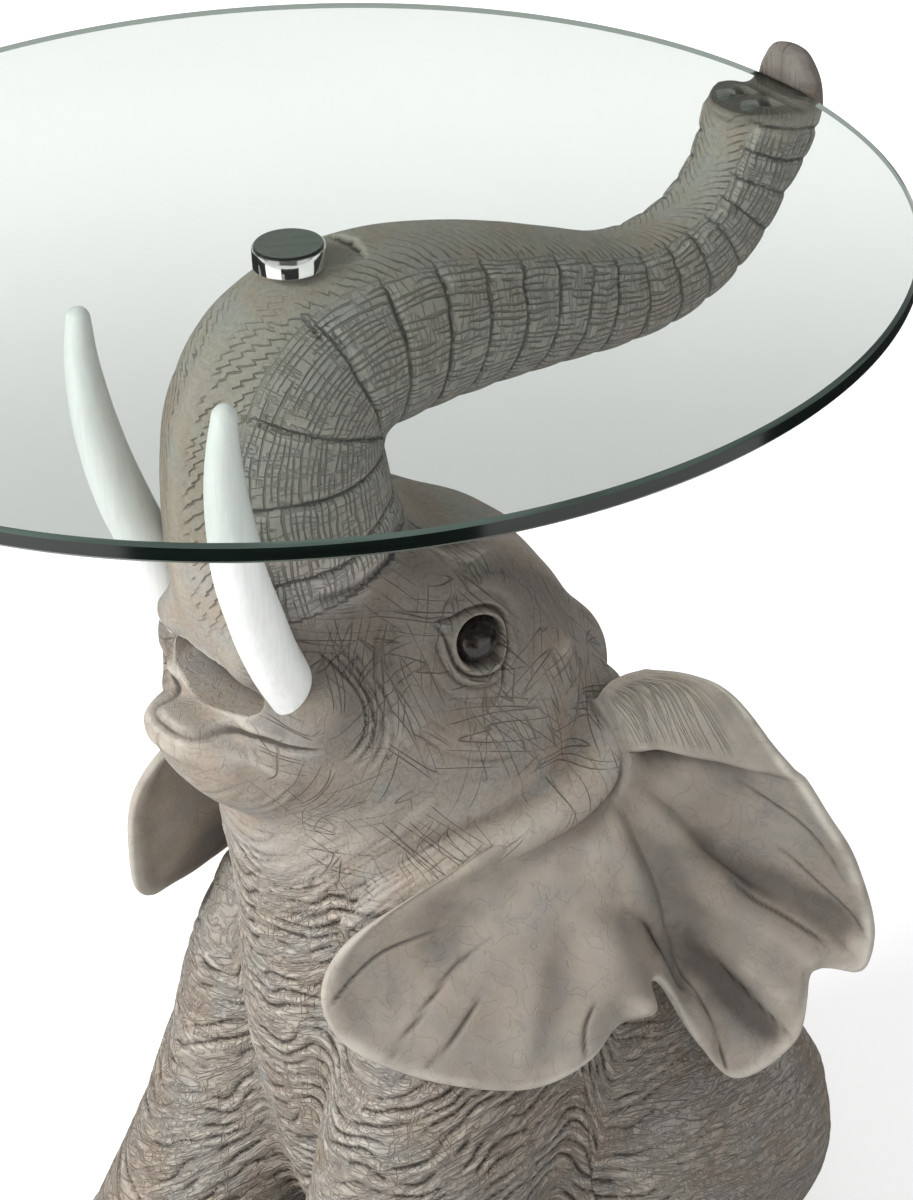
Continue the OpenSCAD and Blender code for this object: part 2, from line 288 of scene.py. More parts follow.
TUSK = [[41, -35, 380, 11, 11], [42.5, -45, 400, 11.5, 11.5], [45.5, -54, 424, 11.5, 11.5], [48.5, -62, 450, 10.8, 10.8],
        [51.5, -67, 478, 9.2, 9.2], [53.5, -68.5, 500, 7.2, 7.2], [55, -67.5, 519, 5.2, 5.2]]
FINGER = [[0, 240, TIP_Z - 34, 18, 12], [0, 250, TIP_Z - 18, 20, 11], [0, 256, TIP_Z - 2, 21, 8.5],
          [0, 257, TIP_Z + 12, 18.5, 8], [0, 256.5, TIP_Z + 20, 13, 6.5]]
EYE = np.array([60.0, 40.0, 389.0])
EYE_R = 11
TOES = ((-40, 0, 40), (-36, 0, 36))    # bearings of the toes round each front and rear foot

# ------------------------------------------------------------------ the casting's skin
def both(part):
    return [part, mirror(part)]


def refine(ob, reach):
    """Splits the faces round the eyes once more."""
    bm = bmesh.new()
    bm.from_mesh(ob.data)
    pick = []
    for f in bm.faces:
        c = f.calc_center_median() / MM
        y, z = c.y - AXIS_Y - EYE[1], c.z - EYE[2]
        if abs(c.x) > 26 and y * y + z * z < reach * reach:
            pick.append(f)
    es = list({e for f in pick for e in f.edges})
    bmesh.ops.subdivide_edges(bm, edges=es, cuts=1, use_grid_fill=True, smooth=0.6)
    bmesh.ops.triangulate(bm, faces=[f for f in bm.faces if len(f.verts) > 4])
    bm.to_mesh(ob.data)
    bm.free()


def skin_object():
    parts = [limb(TORSO, 64), limb(HEAD, 56, cap0=22, cap1=12), limb(THROAT, 48), limb(CHEST, 40, cap1=14),
             limb(LIP, 40, cap1=4), limb(TRUNK, 56), limb(FINGER, 32, cap1=5), limb(TAIL, 20, cap0=6, cap1=8)]
    parts += both(limb(FORELEG, 40)) + both(limb(THIGH, 44, cap0=30, cap1=22)) + both(limb(SHANK, 36, cap0=10))
    parts += both(limb(SHEATH, 32, cap1=9)) + both(blob([43, 42, 388], [23, 30, 25]))
    parts += both(blob([28, 98, 341], [26, 30, 30])) + both(blob([27, -37, 393], [19, 21, 14]))
    parts += [limb(JOWL, 28, cap0=10, cap1=6), mirror(limb(JOWL[:-2], 28, cap0=10, cap1=6))]
    for bearings, (x, y, z), (rx, ry), size in zip(TOES, ((66, -64, 12), (105, 31, 11)), ((44, 47), (37, 41)),
                                                   ((12, 7, 13), (10, 6, 11))):
        for r in map(math.radians, bearings):
            parts += both(blob([x + rx * math.sin(r), y - ry * math.cos(r), z], size, 20))
    ob = make("elephant_skin", *join(parts))
    m = ob.modifiers.new("r", "REMESH")
    m.mode = "VOXEL"
    m.voxel_size = 0.0026
    m.adaptivity = 0
    applied(ob)
    P = co(ob.data)
    sm = Smoother(ob.data)
    low = step(16, 40, P[:, 2])
    thin = 1 - 0.75 * step(225, 240, P[:, 1]) * step(420, 440, P[:, 2])
    P = sm.run(P, 14, 0.5, w=(0.25 + 0.75 * low) * thin)
    set_co(ob.data, P)
    m = ob.modifiers.new("s", "SUBSURF")
    m.levels = m.render_levels = 1
    applied(ob)
    refine(ob, 36)
    return ob


skin = skin_object()
me = skin.data
P = co(me)
N = normals(me)
sm = Smoother(me)
ax = np.abs(P[:, 0])
print("skin faces", len(me.polygons))

# trunk coordinates: distance along the centreline, across, and from its middle
TRUNK_K = 12
tc = cr(TRUNK, TRUNK_K)
tt, _, tv = frames(tc[:, :3])
ts = np.concatenate([[0], np.cumsum(np.linalg.norm(np.diff(tc[:, :3], axis=0), axis=1))])
near = np.zeros(len(P), int)
best = np.full(len(P), 1e9)
for i in range(len(tc)):
    d = ((P - tc[i, :3]) ** 2).sum(1)
    m = d < best
    best[m] = d[m]
    near[m] = i
rel = P - tc[near, :3]
s_tr = ts[near] + (rel * tt[near]).sum(1)
x_tr = P[:, 0]
y_tr = (rel * tv[near]).sum(1)
phi = np.degrees(np.arctan2(np.abs(x_tr) / tc[near, 3], -y_tr / tc[near, 4]))     # 0 on the outer side of the bend
ratio = np.sqrt(best) / tc[near, 3]
s_head = ts[2 * TRUNK_K]
s_crown = ts[5 * TRUNK_K]
s_end = ts[-1]
w_tr = step(s_head - 4, s_head + 16, s_tr) * (1 - step(1.22, 1.5, ratio))
w_tr = w_tr * step(395, 415, P[:, 2] + 0.35 * np.maximum(-P[:, 1], 0))
w_head = step(250, 300, P[:, 2] + 0.25 * np.minimum(P[:, 1], 60)) * (1 - w_tr)
w_head *= 1 - step(120, 150, P[:, 1])
w_body = 1 - w_tr - w_head

disp = np.zeros(len(P))
# painted shade gathered in the grooves, creases, lids, mouth and the trunk tip's flat; it is added to the painted shade
# of the hollows
dark = np.zeros(len(P))
PA = np.column_stack([ax, P[:, 1], P[:, 2]])     # both halves of the skin folded onto one side


def carve(L, depth, width, mask=1.0, planar=True, paint=1.0):
    """Groove along a line, with painted shade along it. Planar lines are y, z on the sides of the head."""
    global disp, dark
    d, a = line_dist(PA[:, 1:] if planar else PA, L)
    end = step(0, 0.25, a) * step(0, 0.25, 1 - a)
    g = gauss(d, width) * (step(24, 34, ax) * mask if planar else mask) * end
    disp -= depth * g
    dark += paint * g * min(1.0, depth / 1.5)


def ridge(L, height, width, planar=True):
    return height * gauss(line_dist(PA[:, 1:] if planar else PA, L)[0], width)


wob = noise(P / 40.0)
wob2 = noise(P / 14.0 + 31)

# rings round the trunk, closer together towards the tip
pos = s_head - 6.0
rings = []
while pos < s_end - 4:
    rings.append(pos)
    pos += 27 - 14 * min(1, max(0, (pos - s_head) / (s_end - s_head))) ** 0.8
rings = np.array(rings)
side = step(34, 50, phi)
sw = s_tr + 2.2 * wob + 0.8 * wob2 - 0.05 * (phi - 90) * (1 - step(s_crown, s_crown + 60, s_tr))
gap = np.abs(sw[:, None] - rings[None, :]).min(1)
idx = np.searchsorted(rings, sw)
cell = rings[np.clip(idx, 0, len(rings) - 1)] - rings[np.clip(idx - 1, 0, None)]
cell = np.where((idx > 0) & (idx < len(rings)), cell, 20)
ring_g = gauss(gap, 1.35) * side * w_tr * (0.75 + 0.5 * wob2)
thick = np.clip(tc[near, 3] / 46.0, 0.4, 1.0)
disp -= 2.0 * thick * ring_g
# painted shade in the ring grooves
dark += 0.85 * ring_g
disp += 0.7 * thick * side * w_tr * np.sin(np.pi * np.clip(gap / np.maximum(cell, 6), 0, 0.5))
# the raised spine down the front and the crests beside the flat upper face
spine = w_tr * (1 - step(s_crown - 25, s_crown - 5, s_tr))
disp += 1.3 * spine * gauss(phi, 9)
disp -= 0.9 * spine * gauss(phi - 24, 9)
crest = w_tr * step(s_crown + 20, s_crown + 55, s_tr)
disp += 1.6 * crest * gauss(phi - 50, 7)
disp -= 1.8 * crest * gauss(phi, 30) * step(s_end - 130, s_end - 60, s_tr)
# feathered creases beside the spine
slant = sw - np.abs(x_tr) * 0.75
far_up = step(s_crown - 30, s_crown + 10, s_tr)
feather = (1 - step(32, 44, phi)) * step(5, 12, phi) * w_tr * (1 - 0.7 * far_up * (1 - step(22, 34, phi)))
feather *= 1 - gauss(np.hypot(P[:, 0], P[:, 1]), 22) * (P[:, 2] > 500)

# head: brow, temple, cheeks and folds
ed = np.hypot((P[:, 1] - EYE[1]), (P[:, 2] - EYE[2]))
sidehead = step(28, 40, ax) * (w_head > 0.02)
disp += ridge([[14, 420], [40, 417], [62, 408], [76, 392], [80, 372]], 5.0, 7) * step(18, 62, ax) * (w_head > 0.02)
disp += 4.0 * gauss(np.hypot(P[:, 1] - 88, P[:, 2] - 364), 14) * sidehead
disp += 5.0 * gauss(np.hypot((P[:, 1] - 34) / 1.5, P[:, 2] - 322), 26) * sidehead
disp -= 3.0 * gauss(np.hypot(P[:, 1] - 8, P[:, 2] - 396), 13) * sidehead
for k, (dep, wid) in enumerate([(1.0, 1.7), (0.7, 1.3), (0.5, 1.2)]):
    o = 7.5 * k
    carve([[20 - o, 416 + 0.3 * o], [5 - o, 398], [3 - o, 379 - 0.4 * o], [16 - 0.5 * o, 359 - o], [39, 347 - o],
           [64, 352 - o]], dep, wid, w_head * (0.6 + 0.6 * wob2), paint=0.6)
for k in range(6):
    o = 3.6 * k
    carve([[20, 413 + o], [36, 416 + o], [52, 412 + o], [66, 402 + o], [75 + 0.6 * o, 388 + 0.5 * o], [78 + 0.8 * o, 370]],
          1.3 - 0.13 * k, 1.2, w_head * step(32, 48, ax), paint=0.6)
carve([[-34, 424], [-12, 424], [10, 428], [26, 434]], 2.2, 2.6)
for k in range(4):
    o = 3.6 * k
    carve([[-32 + o, 404 + 0.4 * o], [-22 + o, 394], [-16 + o, 380 - 0.3 * o], [-20 + o, 364 - 0.7 * o], [-32 + o, 352 - o]],
          1.2 - 0.2 * k, 1.1, paint=0.5)
disp += ridge([[98, 326], [85, 314], [52, 302], [8, 287], [-20, 272]], 2.0, 8) * sidehead
carve([[92, 344], [82, 331], [62, 320], [36, 311], [8, 300], [-14, 290]], 2.6, 5.5, paint=0.25)
# mouth, with painted shade in the slit between the lips
lip_g = gauss(P[:, 2] - 360.5 - 0.05 * (P[:, 1] + 77), 1.5) * (1 - step(-44, -32, P[:, 1])) * w_head
disp -= 2.0 * lip_g
dark += 0.8 * lip_g
disp += ridge([[0, -79, 366], [14, -70, 367], [26, -56, 366], [36, -42, 363]], 2.6, 4.0, planar=False)
disp += ridge([[0, -80, 353], [16, -68, 353], [30, -56, 352], [46, -42, 349]], 2.0, 4.5, planar=False)
carve([[0, -62, 338], [18, -56, 338], [34, -40, 336]], 1.2, 2.4, planar=False)

# chest, legs and flanks: sagging folds
d_leg = line_dist(PA, [r[:3] for r in FORELEG])[0]
w_leg = (1 - step(50, 68, d_leg)) * (1 - step(190, 235, P[:, 2]))
sag = np.where(P[:, 1] < 60, -0.010 * np.minimum(ax, 42) ** 2, 0)
c_body = P[:, 2] + sag * (1 - w_leg) - w_leg * (0.35 * P[:, 1] + 0.008 * np.minimum((ax - 62) ** 2, 1600))
front = 1 - step(60, 110, P[:, 1])


def folds(c, pitch, stretch, seed):
    q = np.column_stack([c / pitch, P[:, 0] / stretch + seed, P[:, 1] / stretch])
    n = noise(q + 0.5 * noise(q * 0.5 + seed)[:, None] * [1, 0, 0])
    return np.clip(np.abs(n) * 2.4, 0, 1) ** 0.65


def bands(c, pitch, warp, seed):
    """Rounded folds one above another, with sharp creases between them that wander and die out."""
    ph = c / pitch + warp * noise(P / (4.5 * pitch) + seed) + 0.30 * noise(P / (1.7 * pitch) + 2 * seed)
    g = np.abs(np.sin(np.pi * ph)) ** 0.6
    return 1 - (1 - g) * (0.35 + 0.65 * step(-0.25, 0.1, noise(P / (2.6 * pitch) + 3 * seed)))


wf = step(0.15, 0.6, w_body) * (1 - step(0.2, 0.8, w_tr))
throat_w = step(0.02, 0.3, w_head) * (1 - step(330, 350, P[:, 2])) * (1 - step(-5, 25, P[:, 1]))
f1 = bands(c_body, 7.6, 1.2, 3.3)
f2 = bands(c_body + 3, 4.2, 1.1, 17.0)
f4 = folds(c_body, 10, 50, 23.0)
amt = wf * (0.45 + 0.75 * front)
disp += (1.6 * (f1 - 0.75) + 0.4 * (f2 - 0.75) + 0.5 * (f4 - 0.75)) * amt
# painted shade in the creases between the folds
dark += (0.36 * (1 - f1) ** 2 + 0.18 * (1 - f2) ** 2 + 0.18 * (1 - f4) ** 3) * np.clip(amt, 0, 1)
f3 = folds(P[:, 2] - 0.012 * ax ** 2, 7, 40, 40.0)
disp += 0.8 * (f3 - 0.75) * throat_w
# painted shade in the throat's fold creases
dark += 0.3 * (1 - f3) ** 2 * throat_w
# broad lumps keep the forms from looking turned
disp += 1.8 * noise(P / 46.0 + 5) * (w_body + 0.5 * w_head) + 0.5 * noise(P / 17.0 + 3) * (1 - 0.6 * w_tr)

# the flats at the feet, the trunk's tip and the disc's seat stay plain
keep = step(1.5, 8, P[:, 2])
keep *= 1 - step(TIP_Z - 5, TIP_Z - 2, P[:, 2]) * (P[:, 1] > 200)
keep *= 1 - gauss(np.hypot(P[:, 0], P[:, 1]), 16) * (P[:, 2] > 525)
P2 = P + N * (disp * keep)[:, None]

# the open mouth: skin inside an egg over the lower lip is pushed back to the wall of the egg
mouth_c, mouth_r = np.array([0.0, -52.0, 376.0]), np.array([35.0, 25.0, 11.5])
mouth_o = np.array([0.0, -70.0, 380.0])
e0 = (mouth_o - mouth_c) / mouth_r
m = (((P2 - mouth_c) / mouth_r) ** 2).sum(1) < 1
dirs = unit((P2[m] - mouth_o) / mouth_r)
bq = dirs @ e0
t_hit = -bq + np.sqrt(np.maximum(bq * bq + 1 - e0 @ e0, 0))
new = mouth_c + (e0 + dirs * t_hit[:, None]) * mouth_r
deep = np.linalg.norm(new - P2[m], axis=1)
# painted shade inside the open mouth, darker deeper in and towards the back
dark[m] += 0.15 * step(1, 6, deep) + 0.7 * step(-42, -30, new[:, 1])
P2[m] = new

# eye sockets and lids; each crease of the lids is a line of y, z from the eye, its depth, width and painted shade
LIDS = (([[-20, 14], [-13, 13.5], [-4, 15], [5, 14], [11, 9], [13.5, 1], [13, -7], [10, -14], [9, -20], [9.5, -28]],
         2.4, 1.1, 1.0),
        ([[-20, 14], [-16.5, 8], [-15, 1], [-13, -7], [-8, -12.5], [-1, -15.5], [6, -15.5], [9.5, -13]], 1.4, 0.95, 0.8),
        ([[-20, 7], [-19, -3], [-14, -13], [-5, -19.5], [4, -21], [9, -20]], 0.9, 1.0, 0.55),
        ([[-26, 4], [-24, -8], [-17, -19], [-6, -26], [6, -28]], 0.6, 1.2, 0.35),
        ([[-15, 19], [-5, 21], [6, 20], [14, 13], [17, 4]], 0.7, 1.4, 0.4))
ALMOND = math.radians(128)             # long axis of the eye's opening, from the front corner to the tear duct
for sg in (1, -1):
    m = (P2[:, 0] * sg > 30) & (ed < 46)
    q = P2[m]
    dy, dz = q[:, 1] - EYE[1], q[:, 2] - EYE[2]
    ca, sa = math.cos(ALMOND), math.sin(ALMOND)
    la, lb = dy * ca + dz * sa, -dy * sa + dz * ca
    r = np.hypot(la / 1.16, lb)
    up = step(-8, 10, dz)
    xs = q[:, 0] * sg
    base = 65.0 + 2.0 * gauss(r, 30)
    xs = xs * step(22, 40, r) + (1 - step(22, 40, r)) * (0.35 * xs + 0.65 * base)
    xs += (1.5 + 0.9 * up) * gauss(r - 12.6, 1.3)
    xs += 0.9 * gauss(r - 16.6, 1.8)
    xs += 0.6 * gauss(r - 23, 3.0)
    lab = np.column_stack([dy, dz])
    for L, dep, wid, lid_shade in LIDS:
        dd, aa = line_dist(lab, L)
        g = gauss(dd, wid) * step(-0.02, 0.12, aa) * step(0, 0.18, 1 - aa)
        xs -= dep * g
        dark[m] += lid_shade * g
    hole = 1 - step(10.4, 11.4, r)
    xs = xs * (1 - hole) + hole * 54.0
    # painted shade in the gap round the eyeball
    dark[m] += 0.9 * gauss(r - 10.8, 0.8)
    q[:, 0] = xs * sg
    P2[m] = q

# flats and hollows the other pieces sit in
TIP_EDGE = 251.4       # where the tip's flat ends at the finger, y
tip = (P2[:, 2] > TIP_Z) & (P2[:, 1] > 205) & (P2[:, 1] < TIP_EDGE)
# painted shade on the tip's flat and the foot of the finger, under the glass
dark += 0.9 * step(TIP_Z - 1.5, TIP_Z - 0.3, P2[:, 2]) * (P2[:, 1] > 205) * (P2[:, 2] < TIP_Z + 12)
P2[tip, 2] = TIP_Z
for sx in (-8.5, 8.5):
    rr = np.hypot((P2[:, 0] - sx) / 0.85, P2[:, 1] - 240)
    m = tip & (rr < 7)
    P2[m, 2] -= 11 * (1 - step(3.2, 6.2, rr[m]))
    # painted shade in the bumper pockets
    dark[m] += 1 - step(3, 6.5, rr[m])
seat = (np.hypot(P2[:, 0], P2[:, 1]) < 17.5) & (P2[:, 2] > SEAT_Z - 6)
P2[seat, 2] = np.minimum(P2[seat, 2], SEAT_Z)
over = np.hypot(P2[:, 0], P2[:, 1]) < 30
P2[over, 2] = np.minimum(P2[over, 2], SEAT_Z)
level = (P2[:, 1] > 195) & (P2[:, 1] < TIP_EDGE)
P2[level, 2] = np.minimum(P2[level, 2], TIP_Z)
P2[:, 2] = np.maximum(P2[:, 2], 2.0)
rim_out = (P2[:, 2] > TOP - 10) & (P2[:, 1] > 200)
rr = np.hypot(P2[:, 0], P2[:, 1])
push = rim_out & (rr < RIM_SAFE)
P2[push, 1] = np.sqrt(np.maximum(RIM_SAFE ** 2 - P2[push, 0] ** 2, 0))
set_co(me, P2)

# hollows at two scales, ridges the other way: painted shade with the dark wash in the hollows, painted highlight with
# the pale dry brush on the ridges
N2 = normals(me)
lap = ((sm.mean(P2) - P2) * N2).sum(1)
cav1 = sm.run(lap, 1)
big = sm.run(P2, 10)
cav2 = ((big - P2) * N2).sum(1)
cav = np.clip(cav1 * 3.2, -1, 1) * 0.5 + np.clip(cav2 * 1.1, -1, 1) * 0.6
cav = np.clip(cav + 0.35 * np.clip(dark, 0, 1.5), -1, 1.4)


def attr(me, name, data):
    data = np.asarray(data, np.float32)
    if data.ndim == 1:
        a = me.attributes.new(name, "FLOAT", "POINT")
        a.data.foreach_set("value", data)
    else:
        a = me.attributes.new(name, "FLOAT_VECTOR", "POINT")
        a.data.foreach_set("vector", data.ravel())


# flow coordinates in millimetres: along, across, across
flow_b = np.column_stack([c_body, P[:, 0], P[:, 1]])
cell_r = tc[near, 3]
for q in range(len(rings) + 1):
    inside = (idx == q) & (w_tr > 0.05)
    if inside.any():
        cell_r[inside] = cell_r[inside].mean()
flow_t = np.column_stack([sw, np.radians(phi) * cell_r + 31.7 * (idx % 7), np.sign(x_tr) * 40.0])
flow = np.where((w_tr > 0.5)[:, None], flow_t, flow_b)
nail = np.zeros(len(P))
for bearings, (cx, cy, rad) in zip(TOES, ((66, -64, 47), (105, 31, 41))):
    for r in map(math.radians, bearings):
        q = (PA - [cx + (rad - 1) * math.sin(r), cy - (rad + 3) * math.cos(r), 11]) / [11, 8, 12]
        nail = np.maximum(nail, 1 - step(0.75, 1.0, np.linalg.norm(q, axis=1)))
attr(me, "flow", flow)
w_lines = w_tr * step(30, 46, phi) * (1 - 0.8 * step(TIP_Z - 16, TIP_Z - 4, P[:, 2]))
attr(me, "w", np.column_stack([w_lines, w_body, w_head]))
attr(me, "cav", cav)
attr(me, "nail", nail)
# painted shade on the brow and cheeks, the finger and the flanks
painted_shade = w_head * (0.30 * step(318, 340, P[:, 2]) + 0.26 * step(352, 392, P[:, 2])) * step(20, 44, ax)
painted_shade = np.maximum(painted_shade, 0.66 * step(TIP_Z - 8, TIP_Z + 2, P[:, 2]))
painted_shade = np.maximum(painted_shade, 0.16 * w_body * step(60, 90, ax))
attr(me, "painted_shade", painted_shade)
attr(me, "feather", np.column_stack([slant, feather, x_tr]))
me.polygons.foreach_set("use_smooth", [True] * len(me.polygons))

# ------------------------------------------------------------------ ears
RIM = [[75, 116, 351], [99, 136, 348], [130, 142, 332], [149, 152, 306], [160, 166, 268], [161, 169, 226],
       [141, 155, 219], [147, 142, 190], [132, 121, 170], [123, 106, 191], [118, 87, 229], [122, 63, 219], [126, 44, 209],
       [118, 18, 203], [104, -20, 217], [85, -47, 236], [77, -52, 260], [76, -36, 279], [80, 6, 293], [84, 45, 303]]
SPRING = [[72, 94, 344], [79, 97, 336], [85, 98, 327], [88, 98, 322], [90, 97, 318], [91, 96, 314],
          [91, 94, 311], [91, 92, 308], [90, 90, 306], [89, 88, 304], [88, 86, 303], [87, 84, 302], [86, 82, 301],
          [84, 80, 301], [82, 78, 301], [80, 76, 302], [79, 75, 304], [78, 74, 306], [77, 74, 308], [76, 75, 310]]
BELLY = [-4, -10, -16, -18, -16, -10, 2, -8, -4, 6, 12, 10, 8, 6, 5, 4, 4, 5, 5, 4]
RIGHT = {14: [-4, -4, -9], 15: [-1, 0, -12], 16: [0, 0, 4], 17: [0, -3, 11], 18: [0, -3, 9]}
# thin engraved veins, and the broad folds of the sheet, as (sector, fraction from root to rim)
VEINS = [[(3.1, 0.60), (3.3, 0.78), (3.5, 0.90), (4.05, 0.95)],
         [(4.1, 0.68), (4.2, 0.77), (4.4, 0.87), (4.55, 0.95), (4.7, 1.0)],
         [(6.05, 0.50), (5.9, 0.65), (5.55, 0.77), (5.35, 0.90)],
         [(7.2, 0.57), (7.3, 0.70), (7.2, 0.83), (7.05, 1.0)],
         [(8.5, 0.52), (8.3, 0.63), (8.1, 0.77), (8.15, 0.93), (8.2, 1.0)],
         [(11.2, 0.42), (10.1, 0.64), (9.2, 0.68), (8.85, 0.70)],
         [(12.0, 0.72), (12.2, 0.82), (12.05, 0.97)],
         [(15.1, 0.47), (16.0, 0.75), (15.95, 0.90), (15.7, 1.0)],
         [(14.4, 0.47), (14.65, 0.62), (14.6, 0.77), (14.5, 1.0)],
         [(14.1, 0.65), (14.05, 0.80), (14.1, 0.97)]]
FOLDS = [(-5.0, 13, [(6.4, 0.13), (5.7, 0.40), (5.3, 0.63), (4.8, 0.83), (4.9, 0.95)]),
         (4.5, 9, [(7.5, 0.30), (6.6, 0.48), (6.0, 0.75), (5.8, 0.95)]),
         (-5.5, 9, [(9.0, 0.42), (7.7, 0.58), (7.4, 0.75), (7.3, 0.92)]),
         (3.0, 8, [(6.9, 0.70), (6.7, 0.90)]),
         (5.0, 9, [(13.0, 0.32), (11.9, 0.50), (11.0, 0.77), (10.7, 0.92)]),
         (-4.0, 6, [(11.2, 0.42), (10.1, 0.66), (9.2, 0.70), (8.9, 0.74)]),
         (5.5, 6, [(8.5, 0.97), (9.3, 1.0), (10.6, 1.0)]),
         (4.5, 7, [(5.7, 0.98), (5.1, 1.0), (4.9, 0.97)]),
         (-1.5, 20, [(15.3, 0.35), (15.2, 0.70)]),
         (3.0, 9, [(13.6, 0.50), (13.2, 0.85)])]
ROLL_U = 2.5           # sector of the crease under the rolled upper edge
EDGE_ROWS = (30, 60, 90, 120, 150)     # bearings of the rows round the sheet's edge


def ear(name, left):
    """Sheet from the root (spring) line to the rim, k rows for each sector and m across, inner more in the head."""
    k, m, inner = 18, 60, 10
    rim = np.array(RIM, float)
    if not left:
        for i, d in RIGHT.items():
            rim[i] += d
    r, s = cr(rim, k), cr(SPRING, k)
    b = cr([[x] for x in BELLY], k)[:, 0]
    n = len(r)
    u = np.arange(n) / k
    f = np.concatenate([np.arange(-inner, 0) * 0.03, np.arange(m + 1) / m])
    F, U = np.meshgrid(f, u)
    S = s[:, None] + (r - s)[:, None] * np.maximum(f, 0)[None, :, None]
    S[:, :, 0] += b[:, None] * np.sin(math.pi * np.maximum(f, 0))[None]
    S = S + np.array([90.0, 18.0, 8.0]) * np.minimum(F, 0)[:, :, None]

    def on_sheet(pts):
        out = []
        for a, c in pts:
            x, y = a * k, inner + c * m
            i, j = min(int(x), n - 2), min(int(y), len(f) - 2)
            p, q = x - i, y - j
            near_, far_ = (S[i, e] * (1 - p) + S[i + 1, e] * p for e in (j, j + 1))
            out.append(near_ * (1 - q) + far_ * q)
        return np.array(out)

    def normals_of(T):
        w = unit(np.cross(np.gradient(T, axis=0), np.gradient(T, axis=1)))
        w = w if w[:, :, 0].mean() > 0 else -w
        for _ in range(10):
            w[:, 1:-1] += 0.5 * (w[:, :-2] + w[:, 2:] - 2 * w[:, 1:-1])
            w[1:-1] += 0.5 * (w[:-2] + w[2:] - 2 * w[1:-1])
            w = unit(w)
        return w

    flat = S.reshape(-1, 3)
    h = np.zeros(len(flat))
    for amount, width, pts in FOLDS:
        d, a = line_dist(flat, on_sheet(pts))
        h += 1.3 * amount * gauss(d, width) * step(-0.1, 0.45, a)
    h = h.reshape(n, -1) * step(0.06, 0.42, F)
    # the upper edge rolls over a dark cup
    fw = step(0.0, 0.15, F)
    roll = 6.0 * step(0.2, 1.9, U) * (1 - step(ROLL_U - 0.1, ROLL_U + 0.16, U))
    h += fw * (roll * (1 - 0.55 * step(0.85, 1.0, F)))
    cup = fw * 5.0 * step(ROLL_U - 0.05, ROLL_U + 0.16, U) * (1 - step(ROLL_U + 0.2, ROLL_U + 1.6, U))
    h -= cup * (1 - step(0.6, 0.95, F))
    h += (1.1 * noise(flat / 24.0 + 2)).reshape(n, -1) * fw
    S = S + normals_of(S) * h[:, :, None]
    Nn = normals_of(S)
    veins = np.zeros(len(flat))
    f3 = S.reshape(-1, 3)
    for q, pts in enumerate(VEINS):
        d, a = line_dist(f3, on_sheet(pts))
        veins = np.maximum(veins, gauss(d, 0.85) * step(0, 0.35, a) * (1 - 0.6 * step(0.85, 1.0, a)))
    veins = veins.reshape(n, -1)
    rolled = gauss(F - 0.965, 0.03)
    th = 3.3 * (1 - 0.42 * step(0.5, 0.96, F)) + 0.8 * rolled
    lip_u = gauss(U - ROLL_U + 0.12, 0.16) * fw * (1 - step(0.8, 1.0, F))
    top = S + Nn * (th - 1.0 * veins + 0.8 * lip_u)[:, :, None]
    bot = S - Nn * (th - 0.3 * veins)[:, :, None]
    out = unit(np.gradient(S, axis=1)[:, -1])
    edge = []
    for ra in map(math.radians, EDGE_ROWS):
        lift, reach = th[:, -1] * math.cos(ra), th[:, -1] * 0.9 * math.sin(ra)
        edge.append(S[:, -1] + Nn[:, -1] * lift[:, None] + out * reach[:, None])
    c = len(f)

    def rows_of(front, rim_value, back):
        """One value for each vertex: front rows out to the rim, the rounded edge, back rows home again."""
        rim_rows = [np.full(n, rim_value)] * len(EDGE_ROWS)
        return np.concatenate([front[:, j] for j in range(c)] + rim_rows + [back[:, j] for j in range(c - 1, -1, -1)])

    rows = [top[:, j] for j in range(c)] + edge + [bot[:, j] for j in range(c - 1, -1, -1)]
    R = len(rows)
    Fc = [(j * n + i, j * n + i + 1, (j + 1) % R * n + i + 1, (j + 1) % R * n + i)
          for j in range(R) for i in range(n - 1)]
    for i, rev in ((0, False), (n - 1, True)):
        for j in range(c - 1):
            q = (j * n + i, (j + 1) * n + i, (R - 2 - j) * n + i, (R - 1 - j) * n + i)
            Fc.append(q[::-1] if rev else q)
        q = tuple((c - 1 + e) * n + i for e in range(len(EDGE_ROWS) + 2))
        Fc.append(q[::-1] if rev else q)
    V = np.concatenate(rows)
    if not left:
        V, Fc = mirror((V, Fc))
    ob = make(name, V, Fc)
    me = ob.data
    sm_ = Smoother(me)
    Q = co(me)
    lap_ = ((sm_.run(Q, 8) - Q) * normals(me)).sum(1)
    band = (1 - step(ROLL_U - 0.35, ROLL_U - 0.15, U)) * step(0.35, 0.7, U) * fw * (1 - step(0.78, 0.95, F))
    zero = np.zeros_like(F)
    attr(me, "cav", np.clip(lap_ * 1.1, -1, 1) * 0.5)
    attr(me, "vein", rows_of(veins, 0.0, zero))
    # fold height kept for painted shade in the sheet's valleys and painted highlight on its ridges
    attr(me, "fold_shade", rows_of(-h / 5.0, 0.0, h / 9.0))
    attr(me, "f", rows_of(F, 1.0, F))
    attr(me, "band", rows_of(band, 0.0, band * 0.5))
    along = rows_of(F * 62.0, 62.0, F * 62.0)
    attr(me, "flow", np.column_stack([along, rows_of(U * 20.0, 0.0, U * 20.0), along * 0]))
    return ob


ear_l = ear("ear_left_skin", True)
ear_r = ear("ear_right_skin", False)

# ------------------------------------------------------------------ tusks and eyes
def tusk(name, left):
    part = limb(TUSK, 48, 10, cap0=10, cap1=5)
    if not left:
        part = mirror(part)
    ob = make(name, *part)
    Q = co(ob.data)
    Nq = normals(ob.data)
    set_co(ob.data, Q + Nq * (0.25 * noise(Q / [7, 7, 26]))[:, None])
    return ob


tusk_l = tusk("tusk_left_ivory", True)
tusk_r = tusk("tusk_right_ivory", False)


def eyeball(name, sg):
    V, F = blob([0, 0, 0], [EYE_R] * 3, 64)
    V = V + EYE * [sg, 1, 1]
    return make(name, V, F)


eye_l = eyeball("eye_left_ball", 1)
eye_r = eyeball("eye_right_ball", -1)

